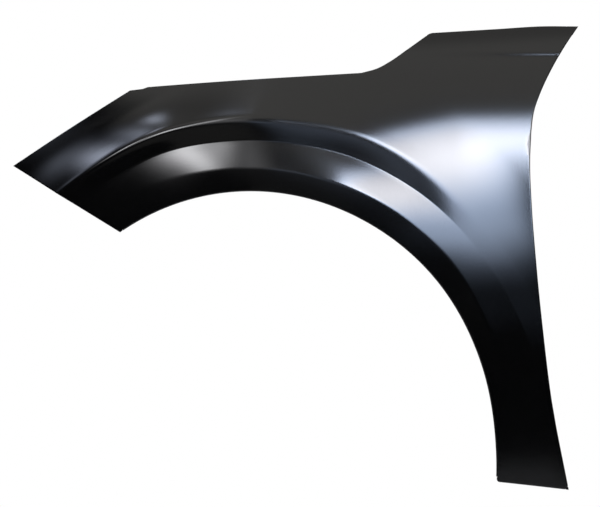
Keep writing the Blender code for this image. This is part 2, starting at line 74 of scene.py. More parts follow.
# How far the cut edge runs outside the opening's plain ellipse, by angle
ARCH_OFFSETS = (
    (122.2, -1.1), (90.0, -0.3), (65.0, 0.9), (40.0, 3.3), (20.0, 1.0), (2.0, 0.2), (-5.4, 2.4),
)

# Body form behind the flare
FRONT_WRAP_START = 50.0
FRONT_WRAP_RADIUS = 590.0
WAIST_FRONT = 220.0
WAIST_REAR = 110.0
CROWN_RADIUS_FRONT = 630.0
CROWN_RADIUS_REAR = 880.0
CROWN_LIMIT = 0.93
LOWER_RADIUS = 2600.0
REAR_SWEEP_START = 345.0
REAR_SWEEP_RADIUS = 2400.0
REARWARD_TAPER = 0.029
PANEL_FRONT = -410.0
PANEL_REAR = 560.0

# Soft step across the pillar, this far below its tip. It grows from its start to its full height
PILLAR_STEP = 2.4
PILLAR_STEP_DROP = 51.0
PILLAR_STEP_WIDTH = 12.0
PILLAR_STEP_START = 230.0
PILLAR_STEP_FULL = 500.0

# Wheel flare, by angle round the arch: distance of the inner ridge, the valley and the outer ridge from
# the arch edge, then how far the edge, the inner ridge, the valley and the outer ridge stand outboard,
# then the length over which the outer ridge runs out into the body. Each crease is rounded over its
# blend to either side
FLARE_SECTIONS = (
    (130.0, 48, 78, 116, -6, 0, 2, 24, 70),
    (118.0, 45, 82, 118, -5, 0, 3, 27, 60),
    (107.0, 42, 88, 123, -3, 1, 4, 27, 60),
    (96.0, 39, 86, 122, -1, 5, 4, 21, 85),
    (84.0, 39, 85, 123, 2, 7, 3, 12, 106),
    (70.0, 40, 90, 127, 7, 10, 0, 7, 126),
    (56.0, 43, 91, 124, 9.5, 10, 3, 4, 118),
    (42.0, 43, 89, 117, 9.5, 10, 6, 4, 106),
    (30.0, 36, 87, 116, 11, 12, 8, 5, 96),
    (14.0, 31, 87, 116, 9, 8, 6, 4, 90),
    (-5.0, 29, 87, 116, 8, 6, 4, 4, 90),
)
INNER_RIDGE_BLEND = 3.0
VALLEY_BLEND = 1.5
OUTER_RIDGE_BLEND = 8.0

# Corners of the outline in side view
SILL_REAR = (529.0, -55.0)
TAIL_TIP = (565.0, 728.0)
TAIL_FOOT = (309.0, 716.0)
HOOD_REAR = (189.0, 643.5)
HOOD_FRONT = (-175.0, 620.0)
NOTCH = (-184.0, 616.8)
LAMP_REAR = (-206.0, 614.5)
FRONT_TIP = (-409.0, 486.5)
DOOR_CURVE = (
    (500, 97), (487, 205), (477, 320), (471.5, 420), (471, 490), (474.5, 538), (481.5, 578),
    (493.5, 609), (511.5, 645), (536, 686),
)
TAIL_CURVE = ((505, 728.5), (425, 723.5))
SWEEP_CURVE = ((268, 685.5), (239, 664.5), (216, 651.5))
LAMP_CURVE = ((-322, 542),)
SILL_CORNER = 6.0
TAIL_CORNER = 6.0
HOOD_SLOPE = (HOOD_REAR[1] - HOOD_FRONT[1]) / (HOOD_REAR[0] - HOOD_FRONT[0])
HOOD_UP = Vector((-HOOD_SLOPE, 0, 1)).normalized()

# Folded edges
FOLD_RADIUS = 1.6
ARCH_LIP = 18.0
BUMPER_FLANGE = 20.0
LAMP_FLANGE = 14.0
DOOR_FLANGE = 14.0
SILL_FLANGE = 24.0
TAIL_FLANGE = 18.0
SWEEP_FLANGE = 14.0
HOOD_WALL = 22.0
HOOD_WALL_LEAN = 0.12
HOOD_RAIL = 28.0
HOOD_RAIL_FOLD = 2.5
CORNER_RELIEF = 6.0
TIP_RELIEF = 20.0
RELIEF_STEP = 1.2
DOOR_TAB = 36.0
DOOR_TAB_LENGTH = 40.0
DOOR_TAB_HEIGHTS = (70.0, 520.0)
TAB_SHOULDER = 8.0
LAMP_TAB = 28.0
LAMP_TAB_LENGTH = 30.0
LAMP_TAB_PLACE = 0.36
BUMPER_FLAT = 24.0
BUMPER_FLAT_PLACE = 0.868

# Holes. Those along a flange lie a little past its middle; a cutter reaches this far to either side
TAB_HOLE_SETBACK = 12.0
HOLE_PAST_MIDDLE = 1.0
BOLT_HOLE = 9.0
LINER_HOLE = 7.0
LINER_HOLE_ANGLES = (112.0, 92.0, 72.0, 52.0, 31.0, 10.0)
HOOD_BOLTS = (-140.0, 10.0, 160.0)
CLIP_SLOT = (12.0, 6.0)
CLIP_PLACES = (0.25, 0.5, 0.75)
SILL_SLOT = (14.0, 9.0)
SILL_PLACES = (0.28, 0.74)
TAIL_SLOT = (12.0, 7.0)
TAIL_PLACES = (0.28, 0.62)
HOLE_SIDES = 32
CUTTER_REACH = 6.0

# Spacing of the mesh: steps along the arch in degrees, along the edges and over the body, and the rows
# of points across the flare and the pillar's step
ARCH_STEP = 0.7
ARCH_LINE_POINTS = 720
BAND_ANGLES = (132.0, -8.0)
EDGE_STEP = 4.0
BODY_STEP = 6.5
FOLD_STEPS = 6
CORNER_POINTS = 6
WIDE_BAND_ROWS = 7
CREASE_ROWS = 3
RUN_ROWS = 3
RUN_ROW_GAP = 4.5
PILLAR_ROWS = 10
PILLAR_ROW_REACH = 0.75
PILLAR_ROW_STEP = 5.0
PILLAR_ROW_LEAD = 20.0

# How far the points keep from the outline and from the rows before them
RIM_INSET = 1.1
RIM_MARGIN = 0.6 * RIM_INSET
ROW_MARGIN = 2.0
GRID_MARGIN = 2.5
GRID_PAST_FLARE = 18.0
GRID_PAST_STEP = 3.0

# Points nearer than this are one, faces flatter than this are left out, and edges past this angle in
# degrees stay sharp
MERGE_DISTANCE = 0.01
FLATTEST_FACE = 1e-6
SHARP_ANGLE = 32.0

# Primer: its refraction, its roughness across the clouds, its black and the dust on it, the stretch of
# each noise that is used, the scale of each noise, and the orange peel's strength and height in metres
PRIMER_IOR = 1.5
PRIMER_ROUGHNESS = (0.112, 0.126)
PRIMER_BLACK = (0.0016, 0.0016, 0.0017, 1.0)
DUST_GREY = (0.0040, 0.0040, 0.0039, 1.0)
DUST_RANGE = (0.45, 0.78)
CLOUD_RANGE = (0.3, 0.7)
CLOUD_SCALE = 7.0
DUST_SCALE = 900.0
PEEL_SCALE = 420.0
PEEL_STRENGTH = 0.05
PEEL_HEIGHT = 0.0004

# Camera and studio, from the wheel centre in metres
CAMERA_PLACE = (0.084675, -5.5, 0.335775)
CAMERA_LENS = 200.0
CAMERA_SENSOR = 36.0
CAMERA_CLIP = 100.0
STUDIO_MIDDLE = (0.1, 0.0, 0.35)
STUDIO_RADIUS = 3.0
WORLD_LEVEL = 0.35

# Floor, this far below the wheel centre: where it fades into the white, and its darkest and palest tone
FLOOR_DROP = 0.36
FLOOR_PLACE = (0.1, 0.05, 0.0)
FLOOR_RADIUS = 2.6
FLOOR_FADE = (1.1, 2.55)
FLOOR_SIDES = 96
FLOOR_TONES = (0.84, 0.88)
FLOOR_GRAIN = 60.0
FLOOR_ROUGHNESS = 0.6
FLOOR_SPECULAR = 0.1

# The window, by azimuth and elevation in degrees round the studio's middle: its left and top edges, their
# lean and softness, the corner cut off where they meet, the width that is fully bright, how it trails
# off beyond that, and how it dims downwards
WINDOW_LEFT = 20.1
WINDOW_TOP = 65.9
WINDOW_LEAN = 0.09
WINDOW_LEFT_SOFT = 1.4
WINDOW_TOP_SOFT = 0.5
WINDOW_CORNER = (28.0, 0.55)
WINDOW_FULL = 6.2
WINDOW_TRAIL = 5.4
WINDOW_FADE = ((29.0, 41.0, 0.31), (40.0, 60.0, 0.69))
WINDOW_RADIANCE = 27.8

# Its colour at the rim, and in its heart, which starts this far in from the left and the top and fades
# downwards
DAYLIGHT = (0.76, 0.94, 1.28)
HEART_LIGHT = (1.07, 1.08, 1.16)
HEART_IN = (5.0, 4.0)
HEART_FADE = (42.0, 56.0)

# Soft patches of light: azimuth, elevation, spread each way and radiance of each. Then the colours of
# those to the left and of those far behind, and the faintest glow for which a panel has a face
LEFT_GLOWS = (
    (-44, 49.5, 6.4, 4.7, 15.7), (-68, 46, 4.5, 4.2, 12.0), (-12.5, 59.5, 9.4, 9.5, 1.5),
    (-34.5, 63.5, 5.5, 8, 7.4),
)
FAR_GLOWS = (
    (-100, 37, 6.2, 3.3, 0.9), (-128, 42, 14.5, 2.5, 4.1), (-120, 57.5, 4.9, 1.5, 3.6),
    (-133.5, 50.5, 14, 1.9, 2.0), (-144, 80, 7.7, 4.1, 6.8),
)
RIGHT_GLOWS = ((24, 18, 3, 8, 0.22), (21, 31, 3.5, 3, 0.9), (6, 48, 5, 4, 0.9))
LEFT_LIGHT = (1.0, 1.0, 1.03)
FAR_LIGHT = (0.88, 0.97, 1.2)
FAINTEST_GLOW = 0.03

# Each glowing panel's reach in azimuth and in elevation, and its step
WINDOW_PANEL = ((-12, 62), (-1, 72), 1.0)
LEFT_PANEL = ((-86, 14), (30, 88), 2.0)
FAR_PANEL = ((-170, -82), (28, 89), 1.0)

# The black surround and the gauze's colour where it is open: how much of the white studio shows through
# as a ceiling, ahead and behind, and where that starts, lower to the left and a little lower to the right
SURROUND_RADIUS = 14.0
SURROUND_FOOT = -30
SURROUND_STEPS = (5, 3)
GAUZE = (1.0, 0.98, 0.94, 1.0)
CEILING = 0.8
BACK_CEILING = 0.4
BACK_FROM = (70, 120)
CEILING_EDGE = 66
CEILING_SOFT = 12
LEFT_DROP = 16
LEFT_FROM = (-30, -90)
RIGHT_DROP = 6
RIGHT_FROM = (-10, 5)
RIGHT_TO = (110, 70)

# Two dim openings in it, one at the right side and one low ahead, whose top comes down to the left
SIDE_SHOWS = 0.14
SIDE_SPAN = (55, 100)
SIDE_RISE = (-15, 25)
AHEAD_SHOWS = 0.16
AHEAD_LEFT = (-36, -24)
AHEAD_RIGHT = (4, -3)
AHEAD_BOTTOM = (-16, -8)
AHEAD_TOP = 34
AHEAD_TOP_FALL = 0.8
AHEAD_TOP_SOFT = 4

# The black sheet on the floor in front: its rows, from the panel outwards, half its length, and how much
# of the pale floor shows through at its first two rows
BLACK_SHEET_PLACE = (0.1, -0.15, 0.0)
BLACK_SHEET_LIFT = 0.01
BLACK_SHEET_ROWS = (0.0, -2.0, -2.8, -9.0)
BLACK_SHEET_HALF = 6.0
FLOOR_SHOWS = 0.55


def blend(at, stations, values):
    """A smooth curve through the values, with flat ends."""
    order = np.argsort(stations)
    xs = np.asarray(stations, float)[order]
    ys = np.asarray(values, float)[order]
    slopes = np.gradient(ys, xs)
    at = np.clip(at, xs[0], xs[-1])
    i = np.clip(np.searchsorted(xs, at) - 1, 0, len(xs) - 2)
    h = xs[i + 1] - xs[i]
    s = (at - xs[i]) / h
    return (
        (2 * s**3 - 3 * s**2 + 1) * ys[i]
        + (s**3 - 2 * s**2 + s) * h * slopes[i]
        + (3 * s**2 - 2 * s**3) * ys[i + 1]
        + (s**3 - s**2) * h * slopes[i + 1]
    )


def soft_ramp(x, half):
    """0 below, x above, with a parabola across the corner."""
    return np.where(x <= -half, 0.0, np.where(x >= half, x, (x + half) ** 2 / (4 * half)))


def arch_point(angle, out=0.0):
    """A point at this angle of the wheel opening, moved outwards along the opening's normal."""
    t = np.radians(angle)
    nx, nz = ARCH_HEIGHT * np.cos(t), ARCH_HALF_LENGTH * np.sin(t)
    n = np.hypot(nx, nz)
    return ARCH_HALF_LENGTH * np.cos(t) + out * nx / n, ARCH_HEIGHT * np.sin(t) + out * nz / n


def from_arch(x, z, rounds=8):
    """Angle and distance of the nearest point of the wheel opening."""
    a, b = ARCH_HALF_LENGTH, ARCH_HEIGHT
    t = np.arctan2(z / b, x / a)
    for _ in range(rounds):
        c, s = np.cos(t), np.sin(t)
        away = (x - a * c) * a * s - (z - b * s) * b * c
        rate = (a * s) ** 2 + (x - a * c) * a * c + (b * c) ** 2 + (z - b * s) * b * s
        t = t - away / rate
    return np.degrees(t), np.hypot(x - a * np.cos(t), z - b * np.sin(t))


def flare_values(angle):
    table = np.array(FLARE_SECTIONS, float)
    return [blend(angle, table[:, 0], table[:, k]) for k in range(1, 9)]


def flare(x, z):
    """How far the flare stands outboard of the body."""
    angle, d = from_arch(x, z)
    ridge_in, valley, ridge_out, edge_h, in_h, valley_h, out_h, run = flare_values(angle)
    s1 = (in_h - edge_h) / ridge_in
    s2 = (valley_h - in_h) / (valley - ridge_in)
    s3 = (out_h - valley_h) / (ridge_out - valley)
    s4 = -2 * out_h / run
    inside = (
        edge_h
        + s1 * d
        + (s2 - s1) * soft_ramp(d - ridge_in, INNER_RIDGE_BLEND)
        + (s3 - s2) * soft_ramp(d - valley, VALLEY_BLEND)
    )
    e = d - ridge_out
    half = OUTER_RIDGE_BLEND
    q = np.clip(e / run, 0, 1)
    join = out_h + s4 * half - out_h * (1 - half / run) ** 2
    crest = out_h + s3 * e + (s4 - s3) * soft_ramp(e, half)
    return np.where(e < -half, inside, np.where(e < half, crest, (out_h + join) * (1 - q) ** 2))


def ease(share):
    share = np.clip(share, 0, 1)
    return share**2 * (3 - 2 * share)


def pillar_step_height():
    return TAIL_TIP[1] - PILLAR_STEP_DROP


def pillar_step(x, z):
    """How far the skin above the pillar's soft step stands outboard of the crown."""
    grown = ease((x - PILLAR_STEP_START) / (PILLAR_STEP_FULL - PILLAR_STEP_START))
    return PILLAR_STEP * grown * ease((z - pillar_step_height()) / PILLAR_STEP_WIDTH + 0.5)


def body(x, z):
    """Depth of the plain body form, inboard of its outermost plane."""
    wrap = np.clip(FRONT_WRAP_START - x, 0, None) ** 2 / (2 * FRONT_WRAP_RADIUS)
    f = np.clip((x - PANEL_FRONT) / (PANEL_REAR - PANEL_FRONT), 0, 1)
    waist = WAIST_FRONT + (WAIST_REAR - WAIST_FRONT) * f
    crown = CROWN_RADIUS_FRONT + (CROWN_RADIUS_REAR - CROWN_RADIUS_FRONT) * f
    above = np.clip((z - waist) / crown, 0, CROWN_LIMIT)
    below = np.clip(waist - z, 0, None)
    sweep = np.clip(x - REAR_SWEEP_START, 0, None) ** 2 / (2 * REAR_SWEEP_RADIUS)
    taper = REARWARD_TAPER * np.clip(x, 0, None)
    crowned = crown * (1 - np.sqrt(1 - above**2)) + below**2 / (2 * LOWER_RADIUS)
    return wrap + crowned - sweep + taper - pillar_step(x, z)


def depth(x, z):
    return body(x, z) - flare(x, z)


def skin_point(x, z):
    return Vector((float(x), float(depth(x, z)), float(z)))


def skin_normal(x, z, h=0.5):
    """Outward normal, towards -Y."""
    along = (depth(x + h, z) - depth(x - h, z)) / (2 * h)
    up = (depth(x, z + h) - depth(x, z - h)) / (2 * h)
    return Vector((float(along), -1.0, float(up))).normalized()


def curve_through(points, per_span=24):
    """A smooth line through the points, finely divided."""
    pts = np.array(points, float)
    if len(pts) == 2:
        return pts
    chord = np.hypot(*np.diff(pts, axis=0).T)
    u = np.concatenate([[0.0], np.cumsum(chord)])
    fine = np.concatenate([np.linspace(u[i], u[i + 1], per_span, endpoint=False) for i in range(len(u) - 1)])
    fine = np.append(fine, u[-1])
    return np.stack([blend(fine, u, pts[:, 0]), blend(fine, u, pts[:, 1])], axis=1)


class Edge:
    """One side of the outline, walked with the panel on its left."""

    def __init__(self, line, reliefs, folded=True, corner=0.0):
        self.line = np.array(line, float)
        self.run = np.concatenate([[0.0], np.cumsum(np.hypot(*np.diff(self.line, axis=0).T))])
        self.length = self.run[-1]
        self.reliefs = reliefs
        self.folded = folded
        self.corner = corner

    def at(self, u):
        return np.array([np.interp(u, self.run, self.line[:, 0]), np.interp(u, self.run, self.line[:, 1])])

    def tangent(self, u, h=3.0):
        step = self.at(min(u + h, self.length)) - self.at(max(u - h, 0.0))
        return step / np.hypot(*step)

    def inward(self, u, distance):
        t = self.tangent(u)
        return self.at(u) + distance * np.array([-t[1], t[0]])

    def places(self, step, flats=()):
        """Where the edge's sections are taken, with none inside a flat stretch."""
        first, last = self.reliefs[0], self.length - self.reliefs[1]
        stops = sorted({first, last, *[e for flat in flats for e in flat]})
        found = []
        for a, b in zip(stops[:-1], stops[1:]):
            level = any(low <= a and b <= high for low, high in flats)
            n = 1 if level else max(1, math.ceil((b - a) / step))
            found.extend(a + (b - a) * k / n for k in range(n))
        return found + [last]


def fold(start, leaving, along, radius, steps):
    """Points of a bend that leaves in one direction and ends along another."""
    across = (along - along.dot(leaving) * leaving).normalized()
    turn = leaving.angle(along)
    points = []
    for k in range(1, steps + 1):
        a = turn * k / steps
        points.append(start + radius * (math.sin(a) * leaving + (1 - math.cos(a)) * across))
    return points


def fold_frame(edge, u):
    """Where the bend starts on the skin, and the skin's direction there, square to the edge.

    On skin that leans inboard the bend starts nearer the edge, so that it just reaches it in side view.
    """
    x, z = edge.inward(u, FOLD_RADIUS)
    t = edge.tangent(u)
    h = 1.0
    a, b = skin_point(x - h * t[0], z - h * t[1]), skin_point(x + h * t[0], z + h * t[1])
    normal = skin_normal(x, z)
    leaving = (b - a).normalized().cross(normal)
    if leaving.x * -t[1] + leaving.z * t[0] > 0:
        leaving = -leaving
    leaving.normalize()
    x, z = edge.inward(u, FOLD_RADIUS * (1 - leaving.y))
    return skin_point(x, z), leaving


def outline():
    angles = np.linspace(ARCH_FRONT_ANGLE, ARCH_REAR_ANGLE, ARCH_LINE_POINTS)
    stations, offsets = np.array(ARCH_OFFSETS).T
    arch = np.stack(arch_point(angles, blend(angles, stations, offsets)), axis=1)
    small, tip = CORNER_RELIEF, TIP_RELIEF
    sill, foot = SILL_CORNER + 2 * RELIEF_STEP, TAIL_CORNER + 2 * RELIEF_STEP
    return {
        "arch": Edge(arch, (small, sill)),
        "sill": Edge([arch[-1], SILL_REAR], (sill, small), corner=SILL_CORNER),
        "door": Edge(curve_through([SILL_REAR, *DOOR_CURVE, TAIL_TIP]), (small, tip)),
        "tail": Edge(curve_through([TAIL_TIP, *TAIL_CURVE, TAIL_FOOT]), (tip, foot)),
        "sweep": Edge(
            curve_through([TAIL_FOOT, *SWEEP_CURVE, HOOD_REAR]), (foot, small), corner=TAIL_CORNER
        ),
        "hood": Edge([HOOD_REAR, HOOD_FRONT], (small, small)),
        "notch": Edge([HOOD_FRONT, NOTCH, LAMP_REAR], (0.0, 0.0), folded=False),
        "lamp": Edge(curve_through([LAMP_REAR, *LAMP_CURVE, FRONT_TIP]), (small, tip)),
        "bumper": Edge([FRONT_TIP, arch[0]], (tip, small)),
    }


EDGES = outline()
FLANGE_WAY = {
    "arch": Vector((0, 1, 0)),
    "sill": Vector((0, 1, 0)),
    "door": Vector((0, 1, 0)),
    "tail": Vector((0, 0.9, -0.44)).normalized(),
    "sweep": Vector((0.2, 0.62, -0.76)).normalized(),
    "lamp": Vector((0.35, 0.8, -0.5)).normalized(),
    "bumper": Vector((0, 1, 0)),
}
FLANGE_WIDTH = {
    "arch": ARCH_LIP,
    "sill": SILL_FLANGE,
    "door": DOOR_FLANGE,
    "tail": TAIL_FLANGE,
    "sweep": SWEEP_FLANGE,
    "lamp": LAMP_FLANGE,
    "bumper": BUMPER_FLANGE,
}


def door_place(height):
    edge = EDGES["door"]
    return float(np.interp(height, edge.line[:, 1], edge.run))


def tabs(name):
    """Middle, length and width of each bolt tab on this flange."""
    if name == "door":
        return [(door_place(h), DOOR_TAB_LENGTH, DOOR_TAB) for h in DOOR_TAB_HEIGHTS]
    if name == "lamp":
        return [(LAMP_TAB_PLACE * EDGES["lamp"].length, LAMP_TAB_LENGTH, LAMP_TAB)]
    return []


def flange_width(name, u):
    """Flange width here, wider on a tab with sloping shoulders."""
    wide = FLANGE_WIDTH[name]
    for middle, length, reach in tabs(name):
        over = abs(u - middle) - length / 2
        if over <= 0:
            return reach
        if over < TAB_SHOULDER:
            return wide + (reach - wide) * (1 - over / TAB_SHOULDER)
    return wide


def tab_flats(name):
    """The stretches of this edge that are kept flat: each tab's middle and shoulders, and a clip's seat."""
    if name == "bumper":
        middle = BUMPER_FLAT_PLACE * EDGES["bumper"].length
        return [(middle - BUMPER_FLAT / 2, middle + BUMPER_FLAT / 2)]
    spans = []
    for middle, length, _ in tabs(name):
        low, high = middle - length / 2, middle + length / 2
        spans += [(low - TAB_SHOULDER, low), (low, high), (high, high + TAB_SHOULDER)]
    return spans


def hood_line(x):
    return HOOD_FRONT[1] + HOOD_SLOPE * (x - HOOD_FRONT[0])


def flange_rows(name, u):
    """The folded edge in section, from the skin outwards."""
    start, leaving = fold_frame(EDGES[name], u)
    if name == "hood":
        down = Vector((0, HOOD_WALL_LEAN, -1)).normalized()
        inboard = Vector((0, 1, 0))
        rows = fold(start, leaving, down, FOLD_RADIUS, 2 * FOLD_STEPS)
        level = hood_line(rows[-1].x) - HOOD_WALL
        bend = fold(Vector((0, 0, 0)), down, inboard, HOOD_RAIL_FOLD, FOLD_STEPS)
        wall = rows[-1] + down * ((level - bend[-1].z - rows[-1].z) / down.z)
        rail = [wall + b for b in bend]
        return rows + [wall] + rail + [rail[-1] + inboard * (HOOD_RAIL - HOOD_RAIL_FOLD)]
    way = FLANGE_WAY[name]
    rows = fold(start, leaving, way, FOLD_RADIUS, FOLD_STEPS)
    return rows + [rows[-1] + way * (flange_width(name, u) - FOLD_RADIUS)]


def hood_rail_point(x):
    """A point on the top of the hood rail, half its width inboard of its wall."""
    u = EDGES["hood"].line[0][0] - x
    u = u * EDGES["hood"].length / (HOOD_REAR[0] - HOOD_FRONT[0])
    rows = flange_rows("hood", u)
    return rows[-2] + Vector((0, HOOD_RAIL / 2 - HOOD_RAIL_FOLD, 0))


def inside(points, loop, margin, batch=2000):
    """Which points lie in the loop, at least a margin from it."""
    a, b = loop, np.roll(loop, -1, axis=0)
    run = np.where(b[:, 1] == a[:, 1], TINY, b[:, 1] - a[:, 1])
    seg = b - a
    length2 = np.maximum((seg**2).sum(axis=1), TINY)
    kept = []
    for some in np.array_split(points, max(1, len(points) // batch)):
        px, pz = some[:, 0:1], some[:, 1:2]
        cross = (a[:, 1] > pz) != (b[:, 1] > pz)
        hit = px < (b[:, 0] - a[:, 0]) * (pz - a[:, 1]) / run + a[:, 0]
        within = (cross & hit).sum(axis=1) % 2 == 1
        s = np.clip(((px - a[:, 0]) * seg[:, 0] + (pz - a[:, 1]) * seg[:, 1]) / length2, 0, 1)
        gap = np.hypot(px - a[:, 0] - s * seg[:, 0], pz - a[:, 1] - s * seg[:, 1]).min(axis=1)
        kept.append(within & (gap > margin))
    return np.concatenate(kept)


def flare_bands(angles):
    """Rows of points along the flare, close together across each crease; True on a row that is an edge."""
    ridge_in, valley, ridge_out = flare_values(angles)[:3]
    bands = [(ridge_in * k / WIDE_BAND_ROWS, False) for k in range(1, WIDE_BAND_ROWS)]
    for crease, half in (
        (ridge_in, INNER_RIDGE_BLEND), (valley, VALLEY_BLEND), (ridge_out, OUTER_RIDGE_BLEND),
    ):
        for k in range(-CREASE_ROWS, CREASE_ROWS + 1):
            bands.append((crease + half * k / CREASE_ROWS, k % CREASE_ROWS == 0))
    low, high = ridge_in + INNER_RIDGE_BLEND, valley - VALLEY_BLEND
    bands += [(low + (high - low) * k / WIDE_BAND_ROWS, False) for k in range(1, WIDE_BAND_ROWS)]
    low, high = valley + VALLEY_BLEND, ridge_out - OUTER_RIDGE_BLEND
    bands += [(low + (high - low) * k / CREASE_ROWS, False) for k in range(1, CREASE_ROWS)]
    bands += [(ridge_out + OUTER_RIDGE_BLEND + RUN_ROW_GAP * k, False) for k in range(1, RUN_ROWS + 1)]
    return bands


def corner_points(before, edge):
    """The corner where this edge starts, rounded over its corner length."""
    if edge.corner == 0:
        return [tuple(edge.at(0.0))]
    a, c, b = before.at(before.length - edge.corner), edge.at(0.0), edge.at(edge.corner)
    shares = np.linspace(0, 1, CORNER_POINTS)
    return [tuple((1 - s) ** 2 * a + 2 * s * (1 - s) * c + s**2 * b) for s in shares]


def walk_outline():
    """The skin's outer loop, points just inside its folded edges, and each edge's folded sections."""
    loop = []
    rim = []
    strips = []
    before = EDGES["bumper"]
    for name, edge in EDGES.items():
        if not edge.folded:
            loop.extend(tuple(edge.at(u)) for u in edge.run[:-1])
            before = edge
            continue
        places = edge.places(EDGE_STEP, tab_flats(name))
        loop.extend(corner_points(before, edge))
        loop.append(tuple(edge.at(places[0] - RELIEF_STEP)))
        first = len(loop)
        starts = [fold_frame(edge, u)[0] for u in places]
        loop.extend((p.x, p.z) for p in starts)
        sides = [edge.inward(u, 1.0) - edge.at(u) for u in places]
        rim.extend((p.x + RIM_INSET * s[0], p.z + RIM_INSET * s[1]) for p, s in zip(starts, sides))
        strips.append((first, [flange_rows(name, u) for u in places]))
        loop.append(tuple(edge.at(places[-1] + RELIEF_STEP)))
        before = edge
    return np.array(loop), np.array(rim), strips


def flare_points(ring):
    """Points along the flare, and the pairs of them that lie along a crease."""
    points = []
    pairs = []
    n = math.ceil((BAND_ANGLES[0] - BAND_ANGLES[1]) / ARCH_STEP)
    angles = np.linspace(*BAND_ANGLES, n + 1)
    for distances, crease in flare_bands(angles):
        x, z = arch_point(angles, distances)
        keep = inside(np.stack([x, z], axis=1), ring, ROW_MARGIN)
        before = None
        for k in range(len(angles)):
            if not keep[k]:
                before = None
                continue
            points.append((x[k], z[k]))
            if crease and before is not None:
                pairs.append((before, len(points) - 1))
            before = len(points) - 1
    return points, pairs


def pillar_points(ring):
    """Rows of points along the pillar's soft step."""
    points = []
    x = np.arange(PILLAR_STEP_START - PILLAR_ROW_LEAD, ring[:, 0].max(), PILLAR_ROW_STEP)
    for share in np.linspace(-PILLAR_ROW_REACH, PILLAR_ROW_REACH, PILLAR_ROWS):
        z = np.full(len(x), pillar_step_height() + share * PILLAR_STEP_WIDTH)
        row = np.stack([x, z], axis=1)
        points.extend(row[inside(row, ring, ROW_MARGIN)])
    return points


def body_points(ring):
    """A triangular grid over the body, clear of the flare's rows and of the pillar's."""
    low, high = ring.min(axis=0), ring.max(axis=0)
    rows = []
    z = low[1]
    odd = False
    while z < high[1]:
        rows.extend((x + (BODY_STEP / 2 if odd else 0), z) for x in np.arange(low[0], high[0], BODY_STEP))
        z += BODY_STEP * math.sqrt(3) / 2
        odd = not odd
    rows = np.array(rows)
    angle, d = from_arch(rows[:, 0], rows[:, 1])
    beyond = d > flare_values(angle)[2] + OUTER_RIDGE_BLEND + GRID_PAST_FLARE
    ahead = rows[:, 0] < PILLAR_STEP_START - PILLAR_ROW_LEAD
    from_step = np.abs(rows[:, 1] - pillar_step_height())
    off_step = ahead | (from_step > PILLAR_ROW_REACH * PILLAR_STEP_WIDTH + GRID_PAST_STEP)
    return rows[inside(rows, ring, GRID_MARGIN) & beyond & off_step]


def build_skin():
    """The whole sheet's outer face: the skin, then a strip folded in along each edge."""
    ring, rim, strips = walk_outline()
    flare_rows, creases = flare_points(ring)
    coords = [*ring, *rim[inside(rim, ring, RIM_MARGIN)]]
    edges = [(i, (i + 1) % len(ring)) for i in range(len(ring))]
    edges += [(len(coords) + a, len(coords) + b) for a, b in creases]
    coords += [*flare_rows, *pillar_points(ring), *body_points(ring)]
    coords = [Vector(p) for p in coords]

    flat, _, faces, origin, _, _ = delaunay_2d_cdt(coords, edges, [], 0, MERGE_DISTANCE, True)
    place = {}
    for new, olds in enumerate(origin):
        for old in olds:
            place[old] = new
    plan = np.array([p[:] for p in flat])
    depths = depth(plan[:, 0], plan[:, 1])
    points = [Vector((x, y, z)) for (x, z), y in zip(plan, depths)]
    corners = plan[np.array(faces)]
    ab, ac = corners[:, 1] - corners[:, 0], corners[:, 2] - corners[:, 0]
    turns = ab[:, 0] * ac[:, 1] - ab[:, 1] * ac[:, 0]
    kept = inside(corners.mean(axis=1), ring, 0.0) & (np.abs(turns) > FLATTEST_FACE)
    out_faces = [tuple(f) if t > 0 else tuple(reversed(f)) for f, t, k in zip(faces, turns, kept) if k]
    for first, columns in strips:
        previous = None
        for k, section in enumerate(columns):
            column = [place[first + k]]
            for p in section:
                points.append(p)
                column.append(len(points) - 1)
            if previous:
                for j in range(len(column) - 1):
                    out_faces.append((column[j], previous[j], previous[j + 1], column[j + 1]))
            previous = column
    return points, out_faces


def new_material(name):
    """An empty material, with its nodes and links."""
    mat = bpy.data.materials.new(name)
    mat.use_nodes = True
    return mat, mat.node_tree.nodes, mat.node_tree.links


def place_mesh(name, mesh, place):
    """A new object of this mesh, in the scene."""
    obj = bpy.data.objects.new(name, mesh)
    obj.location = place
    bpy.context.scene.collection.objects.link(obj)
    return obj


def slot_cutter(name, centre, axis, length, width, along, collection):
    """A round-ended cutter across the sheet; a hole where length and width are equal."""
    mesh = bpy.data.meshes.new(name)
    bm = bmesh.new()
    half = HOLE_SIDES // 2
    shift = (length - width) / 2
    ring = []
    for side in (1, -1):
        count = half + 1 if shift > 0 else half
        for k in range(count):
            a = math.pi * k / half - math.pi / 2 + (math.pi if side < 0 else 0)
            ring.append((side * shift + width / 2 * math.cos(a), width / 2 * math.sin(a)))
    low = [bm.verts.new((x * MM, y * MM, -CUTTER_REACH * MM)) for x, y in ring]
    face = bm.faces.new(low)
    lifted = bmesh.ops.extrude_face_region(bm, geom=[face])
    moved = [v for v in lifted["geom"] if isinstance(v, bmesh.types.BMVert)]
    bmesh.ops.translate(bm, vec=(0, 0, 2 * CUTTER_REACH * MM), verts=moved)
    bmesh.ops.recalc_face_normals(bm, faces=bm.faces)
    bm.to_mesh(mesh)
    bm.free()
    cutter = bpy.data.objects.new(name, mesh)
    collection.objects.link(cutter)
    z_axis = axis.normalized()
    x_axis = (along - along.dot(z_axis) * z_axis).normalized()
    y_axis = z_axis.cross(x_axis)
    turn = Matrix((x_axis, y_axis, z_axis)).transposed().to_4x4()
    cutter.matrix_world = Matrix.Translation(centre * MM) @ turn


